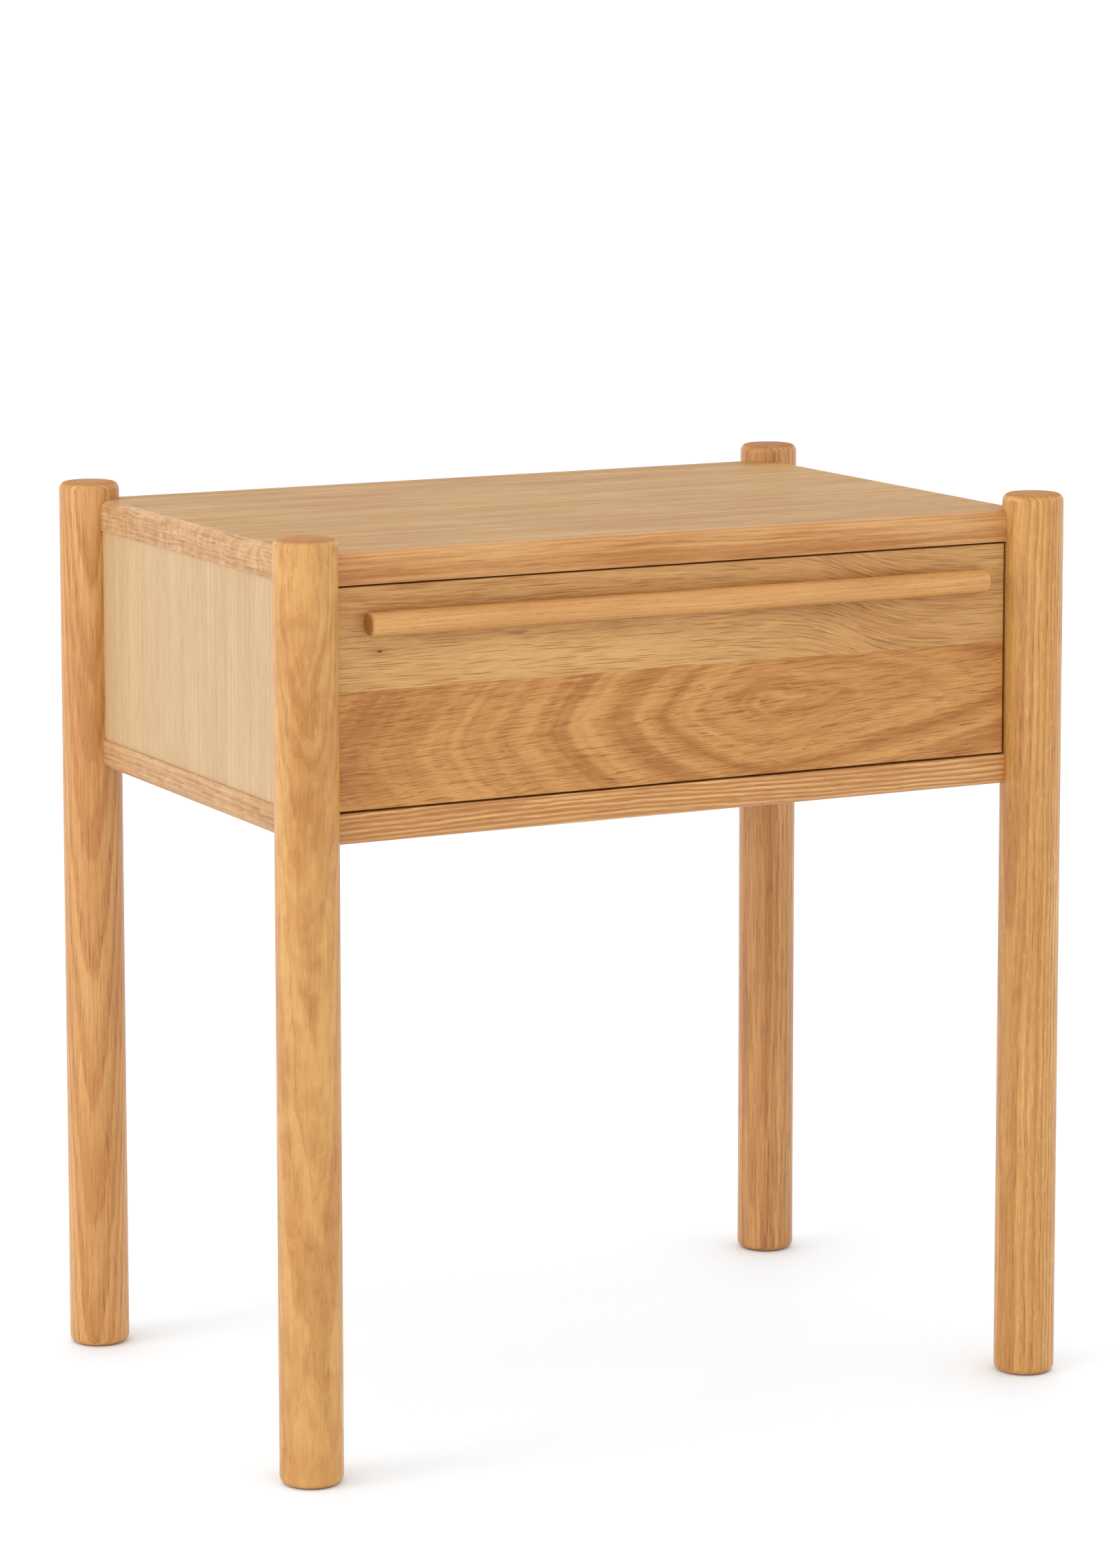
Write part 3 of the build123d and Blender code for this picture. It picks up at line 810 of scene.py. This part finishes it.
@dataclass
class Posts:
    """The four round legs."""

    radius: float = 20.0
    height: float = 590.0
    end_round: float = 5.0
    spread_x: float = 261.0
    spread_y: float = 175.0
    facets: int = 96
    wood: Oak = Oak(
        "oak_post", Grain.UP, (0.0, 0.0), (0.63, 0.335, 0.12), (0.47, 0.205, 0.056), streaks=0.9,
        pores=0.6, pore_length=30.0, pore_width=0.9, relief=0.05, roughness=0.36, sheen_level=0.5,
        worn_edges=0.0,
    )

    def finishes(self) -> dict[str, Oak]:
        """Each leg's own oak, by its node: where its pith lay beside it, and its character; the front
        left leg also gets a painted highlight at its top.
        """
        return {
            "front_left_leg": replace(
                self.wood, pale=(0.61, 0.322, 0.094), deep=(0.43, 0.178, 0.036),
                pith=(-self.spread_x + 30.0, -self.spread_y + 70.0), tilt=(0.03, 0.05), ring=5.0,
                banding=0.6, early=0.25, wander=26.0, ripple=7.0, mottle=0.4, figure=0.6,
                figure_length=18.0, streaks=0.6, pores=0.3,
                # Painted highlight: this patch lightens the top of the leg and its round-over, where
                # light catches the rim.
                tone_and_highlight_patches=(ToneAndHighlightPatch(570.0, -195.0, 26.0, 200.0, 0.3),), seed=1.3,
            ),
            "back_left_leg": replace(
                self.wood, pith=(-self.spread_x + 24.0, self.spread_y + 36.0),
                pale=(0.64, 0.34, 0.112), deep=(0.48, 0.205, 0.052), tilt=(0.0, 0.05), banding=0.35,
                early=0.6, wander=5.0, streaks=1.15, pores=0.8, seed=2.1,
            ),
            "front_right_leg": replace(
                self.wood, pale=(0.65, 0.352, 0.104), deep=(0.47, 0.205, 0.046),
                pith=(self.spread_x + 75.0, -self.spread_y + 26.0), tilt=(0.012, 0.0), early=0.55,
                streaks=1.15, flecks=0.3, figure=0.25, pores=0.7, seed=3.7,
            ),
            "back_right_leg": replace(
                self.wood, pith=(self.spread_x + 52.0, self.spread_y + 40.0),
                pale=(0.59, 0.30, 0.105), deep=(0.40, 0.165, 0.042), banding=0.55, streaks=1.5,
                pores=0.8, seed=4.9,
            ),
        }

    def build(self) -> None:
        """Turn the legs and stand them in their places."""
        for node, oak in self.finishes().items():
            x = self.spread_x if "right" in node else -self.spread_x
            y = self.spread_y if node.startswith("back") else -self.spread_y
            finish = replace(oak, name=f"oak_post_{node.removesuffix('_leg')}").make()
            lengths = (self.radius, self.height, self.end_round)
            piece = turned(f"{node}_turned", lengths, self.facets, finish)
            piece.data.transform(Matrix.Translation((x * MM, y * MM, 0.0)))
            shade_smooth(piece.data, ROUND_SHADING)
            stand_in(piece, node)


@dataclass
class DowelPull:
    """The round pull, with the flat it sits on planed off its back."""

    radius: float = 7.5
    length: float = 444.0
    end_round: float = 2.5
    axis_y: float = -181.0
    axis_z: float = 535.0
    seat_y: float = -174.0
    facets: int = 64
    seat_shading: float = 32.0
    wood: Oak = Oak(
        "oak_pull", Grain.ACROSS, (-150.0, 500.0), (0.66, 0.345, 0.108), (0.47, 0.20, 0.050),
        ring=2.6, banding=0.3, early=0.22, streaks=0.9, pores=0.35, pore_length=12.0,
        pore_width=1.1, relief=0.04, roughness=0.36, sheen_level=0.5, end_tone=0.3, worn_edges=0.0,
        seed=5.5,
    )

    def build(self) -> None:
        """Turn the dowel, lay it across the drawer and plane its seat."""
        lengths = (self.radius, self.length, self.end_round)
        piece = turned("drawer_pull_turned", lengths, self.facets, self.wood.make())
        lay = Matrix.Rotation(math.pi / 2, 4, "Y")
        place = Matrix.Translation((-self.length / 2 * MM, self.axis_y * MM, self.axis_z * MM))
        piece.data.transform(place @ lay)
        self._plane_seat(piece.data)
        shade_smooth(piece.data, self.seat_shading)
        stand_in(piece, "drawer_pull")

    def _plane_seat(self, mesh: Mesh) -> None:
        """Cut the dowel flat at the drawer's face and close the cut."""
        shape = bmesh.new()
        shape.from_mesh(mesh)
        parts = [*shape.verts, *shape.edges, *shape.faces]
        seat = {"plane_co": Vector((0.0, self.seat_y * MM, 0.0)), "plane_no": (0, 1, 0)}
        cut = bmesh.ops.bisect_plane(shape, geom=parts, clear_outer=True, **seat)
        rim = [part for part in cut["geom_cut"] if isinstance(part, bmesh.types.BMEdge)]
        bmesh.ops.contextual_create(shape, geom=rim)
        bmesh.ops.recalc_face_normals(shape, faces=shape.faces)
        shape.to_mesh(mesh)
        shape.free()


@dataclass
class Case:
    """The fixed boards between the legs: veneered top, lippings, side panels, bottom and back."""

    ease: float = 0.35
    board: Oak = Oak(
        "oak_board", Grain.ACROSS, (60.0, 330.0), (0.57, 0.38, 0.20), (0.45, 0.265, 0.12),
        banding=0.2, early=0.15, streaks=0.4, pores=0.35, seed=9.0,
    )
    edge: Oak = Oak(
        "oak_lipping", Grain.ACROSS, (-60.0, 640.0), (0.60, 0.315, 0.115), (0.45, 0.20, 0.058),
        ring=2.4, banding=0.25, early=0.25, pores=0.45, pore_length=26.0, pore_width=1.3,
        streaks=0.95, streak_width=1.8, seed=6.1,
    )
    side: Oak = Oak(
        "oak_side", Grain.UP, (-620.0, 40.0), (0.575, 0.39, 0.208), (0.45, 0.275, 0.130), ring=3.0,
        banding=0.22, early=0.25, mottle=0.3, streaks=1.2, streak_width=0.9, streak_length=160.0,
        pores=0.3, pore_length=26.0, pore_width=1.2, wander=3.0, ripple=0.3, relief=0.05, seed=7.7,
    )

    def finishes(self) -> dict[str, Oak]:
        """Each board's own oak, by its node."""
        pale_edge = replace(
            self.edge, grain=Grain.DEEP, pale=(0.57, 0.335, 0.155), deep=(0.37, 0.175, 0.062),
            figure=0.9, figure_length=8.0, ripple=3.5, flecks=0.25,
        )
        calm_edge = replace(pale_edge, figure=0.3)
        return {
            "top_veneer": replace(
                self.board, pith=(420.0, 900.0), pale=(0.52, 0.30, 0.094),
                deep=(0.32, 0.142, 0.032), sheen_level=0.12, ring=3.6, banding=0.22, early=0.22,
                mottle=0.35, streaks=1.4, streak_width=1.3, streak_length=150.0, wander=2.5,
                ripple=0.3, pores=0.4, pore_length=26.0, pore_width=1.2, relief=0.05,
                tone_and_highlight_patches=(
                    ToneAndHighlightPatch(-110.0, 128.0, 130.0, 5.0, -0.8), ToneAndHighlightPatch(-60.0, 96.0, 100.0, 3.0, -0.6),
                    ToneAndHighlightPatch(-170.0, -92.0, 60.0, 4.0, -0.6), ToneAndHighlightPatch(120.0, 40.0, 120.0, 5.0, -0.4),
                ),
                seed=8.2,
            ),
            "top_board": replace(self.board, seed=9.4),
            "bottom_board": replace(self.board, pith=(-30.0, 350.0), seed=10.2),
            "back_panel": replace(self.board, pith=(230.0, 500.0), seed=11.8),
            "top_front_lipping": replace(
                self.edge, pale=(0.61, 0.325, 0.12), deep=(0.42, 0.172, 0.042), banding=0.6,
                mottle=0.6, streaks=1.5, streak_length=90.0, pores=0.35, seed=12.5,
            ),
            "top_back_lipping": replace(self.edge, pith=(220.0, 620.0), seed=13.1),
            "bottom_front_lipping": replace(
                self.edge, pith=(-150.0, 340.0), pale=(0.70, 0.40, 0.155), deep=(0.43, 0.18, 0.050),
                ring=3.6, banding=0.45, early=1.0, streaks=1.3, wander=10.0, ripple=3.0,
                tone_and_highlight_patches=(ToneAndHighlightPatch(210.0, 408.0, 150.0, 30.0, 0.1),), seed=14.9,
            ),
            "bottom_back_lipping": replace(self.edge, pith=(200.0, 360.0), seed=15.4),
            "top_left_lipping": replace(pale_edge, pith=(-180.0, 640.0), seed=16.6),
            "top_right_lipping": replace(pale_edge, pith=(220.0, 640.0), seed=17.3),
            "bottom_left_lipping": replace(calm_edge, pith=(-180.0, 340.0), seed=18.8),
            "bottom_right_lipping": replace(calm_edge, pith=(230.0, 340.0), seed=19.2),
            "left_side_panel": replace(self.side, seed=20.5),
            "right_side_panel": replace(self.side, pith=(600.0, -40.0), seed=21.9),
            "left_side_veneer": replace(self.side, pith=(-300.0, 340.0), seed=22.4),
            "right_side_veneer": replace(self.side, pith=(300.0, 330.0), seed=23.6),
        }

    def build(self) -> None:
        """Ease and finish every board; the thin veneers keep their CAD meshes."""
        for node, oak in self.finishes().items():
            finish = replace(oak, name=f"oak_{node}").make()
            if node.endswith("veneer"):
                dress_node(node, finish)
            else:
                eased_copy(node, finish, self.ease)


@dataclass
class DrawerFront:
    """The two glued boards of the drawer front."""

    ease: float = 0.12
    wood: Oak = Oak(
        "oak_front", Grain.ACROSS, (-95.0, 620.0), (0.615, 0.348, 0.122), (0.40, 0.172, 0.046),
        ring=7.0, banding=0.22, early=0.1, mottle=0.35, wander=7.0, streaks=1.15, streak_width=1.0,
        streak_length=34.0, pores=0.72, pore_length=52.0, pore_width=0.95, pore_spread=0.85,
        worn_edges=0.05, seed=0.6,
    )

    def build(self) -> None:
        """Ease and finish both boards."""
        upper = replace(
            self.wood, name="oak_front_upper", tilt=(0.0, -0.05),
            sweep=Sweep(along=128.0, reach=40.0, drift=-15.0),
            knot=Knot(along=-211.0, across=517.0),
            tone_and_highlight_patches=(
                ToneAndHighlightPatch(-110.0, 504.0, 140.0, 12.0, 0.4), ToneAndHighlightPatch(-60.0, 553.0, 200.0, 12.0, 0.02),
                ToneAndHighlightPatch(200.0, 540.0, 70.0, 30.0, 0.03),
            ),
        )
        lower = replace(
            self.wood, name="oak_front_lower", slope=0.05, pale=(0.58, 0.283, 0.082),
            deep=(0.37, 0.14, 0.028), ring=6.5, banding=0.75, early=0.12, wander=9.0, ripple=3.0,
            swirl=Swirl(
                along=62.0, across=466.0, lean=0.05, before=0.6, after=0.22, reach=70.0, bow=9.0,
                face=-174.0,
            ),
            tone_and_highlight_patches=(
                ToneAndHighlightPatch(-190.0, 432.0, 90.0, 16.0, 0.35), ToneAndHighlightPatch(60.0, 474.0, 30.0, 8.0, -0.2),
                ToneAndHighlightPatch(190.0, 480.0, 60.0, 18.0, -0.25),
            ),
            seed=24.8,
        )
        eased_copy("drawer_front_upper_board", upper.make(), self.ease)
        eased_copy("drawer_front_lower_board", lower.make(), self.ease)


@dataclass
class DrawerBox:
    """The plywood box behind the front."""

    ease: float = 0.3
    box_half: float = 229.0
    front_y: float = -156.0
    rear_y: float = 144.0
    base_z: float = 438.0
    base_thickness: float = 6.0
    base_plies: int = 5

    def build(self) -> None:
        """Ease and finish the box's five panels."""
        sheets = [
            Plywood("left_drawer_side", Grain.ACROSS, -self.box_half),
            Plywood("right_drawer_side", Grain.ACROSS, self.box_half),
            Plywood("drawer_inner_front", Grain.DEEP, self.front_y),
            Plywood("drawer_back", Grain.DEEP, self.rear_y),
            Plywood("drawer_base", Grain.UP, self.base_z, self.base_thickness, self.base_plies),
        ]
        for sheet in sheets:
            eased_copy(sheet.name, replace(sheet, name=f"ply_{sheet.name}").make(), self.ease)


@dataclass
class Screws:
    """One kind of screw, on every place it is used.

    The head is a cone from base radius up to top radius, and starts base above the face.
    """

    node: str
    places: list[Triple]
    facing: Triple
    base_radius: float
    top_radius: float
    head: float
    base: float
    shank_radius: float
    shank: float
    recess_width: float = 0.9
    recess_length: float = 4.0
    recess_depth: float = 0.9

    def sizes(self) -> dict[str, float]:
        """The screw's sizes in metres, by the name of the input that each drives."""
        head = ("base_radius", "top_radius", "head", "base", "shank_radius", "shank")
        recess = ("recess_width", "recess_length", "recess_depth")
        return {f.replace("_", " ").capitalize(): getattr(self, f) * MM for f in head + recess}

    def rule(self) -> Form:
        """The tree: one cross-headed screw, instanced on each place."""
        places = [f"Place {i}" for i in range(len(self.places))]
        form = Form(f"{self.node}_rule", Float=tuple(self.sizes()), Vector=(*places, "Facing"))
        base, height = form.value("Base"), form.value("Head")
        cone = {"Vertices": 32, "Depth": height}
        cone |= {"Radius Top": form.value("Top radius"), "Radius Bottom": form.value("Base radius")}
        head = self._moved(form, form.geo("MeshCone", cone), base)
        long, wide = form.value("Recess length"), form.value("Recess width")
        deep = form.value("Recess depth") * 2.0
        bars = []
        for size in ((long, wide, deep), (wide, long, deep)):
            bar = form.geo("MeshCube", {"Size": form.vector(*size)})
            bars.append(self._moved(form, bar, base + height))
        exact = {"operation": "DIFFERENCE", "solver": "EXACT"}
        tools = {0: head, 1: form.join(*bars), "Self Intersection": True}
        cut = form.geo("MeshBoolean", tools, exact)
        rod = {"Vertices": 16, "Radius": form.value("Shank radius"), "Depth": form.value("Shank")}
        below = base - form.value("Shank") / 2.0
        whole = form.join(cut, self._moved(form, form.geo("MeshCylinder", rod), below))
        spots = [{"Position": form.given.outputs[place]} for place in places]
        points = form.join(*[form.geo("Points", spot) for spot in spots])
        x, y, z = form.split(form.given.outputs["Facing"])
        side, _, _ = form.split(form.node("GeometryNodeInputPosition").outputs[0])
        facing = {"Vector": form.vector(x * form.math("SIGN", side), y, z)}
        turn = form.node("FunctionNodeAlignRotationToVector", facing, {"axis": "Z"}).outputs[0]
        copies = {0: points, "Instance": whole, "Rotation": turn}
        form.end(form.geo("InstanceOnPoints", copies))
        return form

    @staticmethod
    def _moved(form: Form, mesh: NodeSocket, height: Wire) -> NodeSocket:
        """A primitive's mesh, moved up by a height."""
        return form.geo("Transform", {0: mesh, "Translation": form.vector(0.0, 0.0, height)})

    def build(self, finish: Material) -> None:
        """Drive the screws."""
        values = {**self.sizes(), "Facing": self.facing, "Finish": finish}
        for i, place in enumerate(self.places):
            values[f"Place {i}"] = tuple(c * MM for c in place)
        piece = self.rule().shape(f"{self.node}_cross_headed", values)
        shade_smooth(piece.data, FLAT_SHADING)
        stand_in(piece, self.node)


@dataclass
class BallRows:
    """Two rows of bearing balls in one slide."""

    radius: float = 1.7
    per_row: int = 6
    pitch: float = 20.0

    def rule(self) -> Form:
        """The tree: balls on points whose places follow from their numbers."""
        lengths = ("Radius", "Pitch", "Half gap")
        form = Form("ball_rows", Float=lengths, Int=("Per row",), Vector=("Middle",))
        index = form.wire(form.node("GeometryNodeInputIndex"))
        count = form.value("Per row")
        row = form.math("FLOOR", (index + 0.5) / count)
        step = index - row * count - (count - 1.0) / 2.0
        x, y, z = form.split(form.given.outputs["Middle"])
        height = z + form.value("Half gap") * (row * 2.0 - 1.0)
        place = form.vector(x, y + step * form.value("Pitch"), height)
        points = form.geo("Points", {"Count": count * 2.0, "Position": place})
        ball = form.geo("MeshIcoSphere", {"Radius": form.value("Radius"), "Subdivisions": 3})
        form.end(form.geo("InstanceOnPoints", {0: points, "Instance": ball}))
        return form

    def build(self, node: str, middle: Triple, half_gap: float, finish: Material) -> None:
        """Lay one slide's balls in their cage.

        Args:
            node: The CAD node they stand for.
            middle: The middle of the two rows.
            half_gap: Half the distance between the rows.
            finish: Their material.
        """
        values = {
            "Radius": self.radius * MM,
            "Per row": self.per_row,
            "Pitch": self.pitch * MM,
            "Half gap": half_gap * MM,
            "Middle": tuple(c * MM for c in middle),
            "Finish": finish,
        }
        piece = self.rule().shape(f"{node}_round", values)
        shade_smooth(piece.data, ROUND_SHADING)
        stand_in(piece, node)


@dataclass
class Slides:
    """Both ball-bearing slides and all the screws."""

    height: float = 476.0
    outer_row_x: float = 235.7
    outer_row_z: float = 19.3
    outer_row_y: float = -10.0
    inner_row_x: float = 233.8
    inner_row_z: float = 14.1
    inner_row_y: float = 0.0
    case_face_x: float = 240.5
    drawer_face_x: float = 230.2
    case_screw_y: Triple = (-146.0, 78.0, 134.0)
    drawer_screw_y: Triple = (-140.0, 0.0, 130.0)
    pull_screw_x: Triple = (-150.0, 0.0, 150.0)
    pull_screw_y: float = -156.0
    pull_screw_z: float = 535.0
    front_screw_x: Pair = (-150.0, 150.0)
    front_screw_y: float = -144.0
    front_screw_z: Pair = (456.0, 508.0)
    zinc: PlatedSteel = PlatedSteel("zinc_plate", (0.56, 0.57, 0.59), (0.40, 0.42, 0.45), 0.36)
    cage: PlatedSteel = PlatedSteel("cage_plate", (0.50, 0.48, 0.44), (0.34, 0.32, 0.29), 0.38)
    ball: PlatedSteel = PlatedSteel(
        "ball_polish", (0.80, 0.81, 0.82), (0.68, 0.69, 0.71), 0.12, (0.8, 0.8, 0.8), 0.004
    )
    screw: PlatedSteel = PlatedSteel(
        "screw_plate", (0.76, 0.74, 0.66), (0.55, 0.53, 0.46), 0.3, (0.5, 0.5, 0.5), 0.01
    )

    def build(self) -> None:
        """Finish the channels and cages, and set the balls and screws."""
        zinc, cage, ball = self.zinc.make(), self.cage.make(), self.ball.make()
        rows = BallRows()
        for side, way in (("left", -1), ("right", 1)):
            for member in ("outer", "middle", "inner"):
                dress_node(f"{side}_slide_{member}_member", zinc)
            dress_node(f"{side}_outer_ball_cage", cage)
            dress_node(f"{side}_inner_ball_cage", cage)
            outer = (way * self.outer_row_x, self.outer_row_y, self.height)
            rows.build(f"{side}_outer_balls", outer, self.outer_row_z, ball)
            inner = (way * self.inner_row_x, self.inner_row_y, self.height)
            rows.build(f"{side}_inner_balls", inner, self.inner_row_z, ball)
        self._drive_screws(self.screw.make())

    def _drive_screws(self, finish: Material) -> None:
        """Set the slide screws, and the countersunk ones behind the drawer front."""
        ways = (-1, 1)
        pan = dict(base_radius=3.5, top_radius=2.9, head=1.1, base=0.0, shank_radius=1.7)
        pan |= dict(recess_length=3.6, recess_depth=0.8)
        flat = dict(base_radius=2.0, top_radius=4.0, head=2.0, base=-2.0, shank_radius=1.9)
        z = self.height
        case = [(w * self.case_face_x, y, z) for w in ways for y in self.case_screw_y]
        drawer = [(w * self.drawer_face_x, y, z) for w in ways for y in self.drawer_screw_y]
        pull = [(x, self.pull_screw_y, self.pull_screw_z) for x in self.pull_screw_x]
        front = [(x, self.front_screw_y, z) for x in self.front_screw_x for z in self.front_screw_z]
        Screws("case_slide_screws", case, (-1.0, 0.0, 0.0), shank=12.0, **pan).build(finish)
        Screws("drawer_slide_screws", drawer, (1.0, 0.0, 0.0), shank=9.6, **pan).build(finish)
        Screws("pull_screws", pull, (0.0, 1.0, 0.0), shank=20.0, **flat).build(finish)
        Screws("drawer_front_screws", front, (0.0, 1.0, 0.0), shank=20.0, **flat).build(finish)


@dataclass
class Joinery:
    """The hidden beech dowels."""

    nodes: tuple[str, ...] = ("corner_dowels", "side_panel_dowels", "drawer_dowels")
    wood: Oak = Oak(
        "beech", Grain.ACROSS, (300.0, 900.0), (0.66, 0.44, 0.27), (0.50, 0.30, 0.165), ring=1.8,
        banding=0.1, early=0.1, pores=0.3, pore_length=3.0, pore_width=0.8, seed=25.1,
    )

    def build(self) -> None:
        """Finish the dowels."""
        beech = self.wood.make()
        for node in self.nodes:
            dress_node(node, beech)


@dataclass
class Studio:
    """A pale floor, a white surround, a soft light from the front left and the camera. Metres."""

    floor_size: float = 240.0
    floor_colours: tuple[Colour, Colour] = ((0.885, 0.93, 0.975), (0.915, 0.96, 0.995))
    floor_cloud_mm: float = 900.0
    surround: float = 1.22
    key_power: float = 27.0
    key_size: float = 1.6
    key_place: Triple = (-3.2, 0.0, 1.6)
    key_target: Triple = (0.0, 0.0, 0.35)
    camera_place: Triple = (-1.478, -2.8766, 0.9562)
    camera_turn: Triple = (82.817, 0.0, -27.625)
    lens: float = 112.98
    sensor: float = 36.0
    shift: Pair = (-0.021, -0.15)
    clip_end: float = 500.0

    def build(self) -> None:
        """Set the room, the light and the camera."""
        self._lay_floor()
        self._light()
        self._set_camera()
        view = bpy.context.scene.view_settings
        view.view_transform = "Standard"
        view.look = "None"
        view.exposure = 0.0

    def _lay_floor(self) -> None:
        """A wide, plain, pale floor."""
        half = self.floor_size / 2
        corners = [(-half, -half, 0.0), (half, -half, 0.0), (half, half, 0.0), (-half, half, 0.0)]
        mesh = bpy.data.meshes.new("studio_floor")
        mesh.from_pydata(corners, [], [(0, 1, 2, 3)])
        floor = new_object("studio_floor", mesh)
        s = Surface("studio_floor")
        x, y, z = s.place_mm()
        cloud = s.noise((x / self.floor_cloud_mm, y / self.floor_cloud_mm, z), 1.0)
        colour = s.mix(cloud.clamped(), *self.floor_colours)
        dress(floor, s.finish(colour, 0.6 + 0.1 * cloud, cloud, 0.01, {"Specular IOR Level": 0.2}))

    def _light(self) -> None:
        """A white surround, and one large soft light."""
        world = bpy.data.worlds.new("studio_surround")
        world.use_nodes = True
        background = world.node_tree.nodes["Background"]
        background.inputs["Color"].default_value = (1.0, 1.0, 1.0, 1.0)
        background.inputs["Strength"].default_value = self.surround
        bpy.context.scene.world = world
        key = bpy.data.lights.new("key", "AREA")
        key.energy = self.key_power
        key.size = self.key_size
        lamp = new_object("key", key)
        lamp.location = self.key_place
        away = Vector(self.key_place) - Vector(self.key_target)
        lamp.rotation_euler = away.to_track_quat("Z", "Y").to_euler()

    def _set_camera(self) -> None:
        """The camera, left of the front and a little above the top."""
        lens = bpy.data.cameras.new("camera")
        lens.lens = self.lens
        lens.sensor_width = self.sensor
        lens.sensor_fit = "AUTO"
        lens.shift_x, lens.shift_y = self.shift
        lens.clip_end = self.clip_end
        camera = new_object("camera", lens)
        camera.location = self.camera_place
        camera.rotation_euler = [math.radians(a) for a in self.camera_turn]
        bpy.context.scene.camera = camera


def main() -> None:
    """Build the table from the legs inwards, then the studio round it."""
    logging.basicConfig(level=logging.INFO, format="%(message)s")
    Posts().build()
    Case().build()
    DrawerFront().build()
    DowelPull().build()
    DrawerBox().build()
    Slides().build()
    Joinery().build()
    Studio().build()


if __name__ == "__main__":
    main()
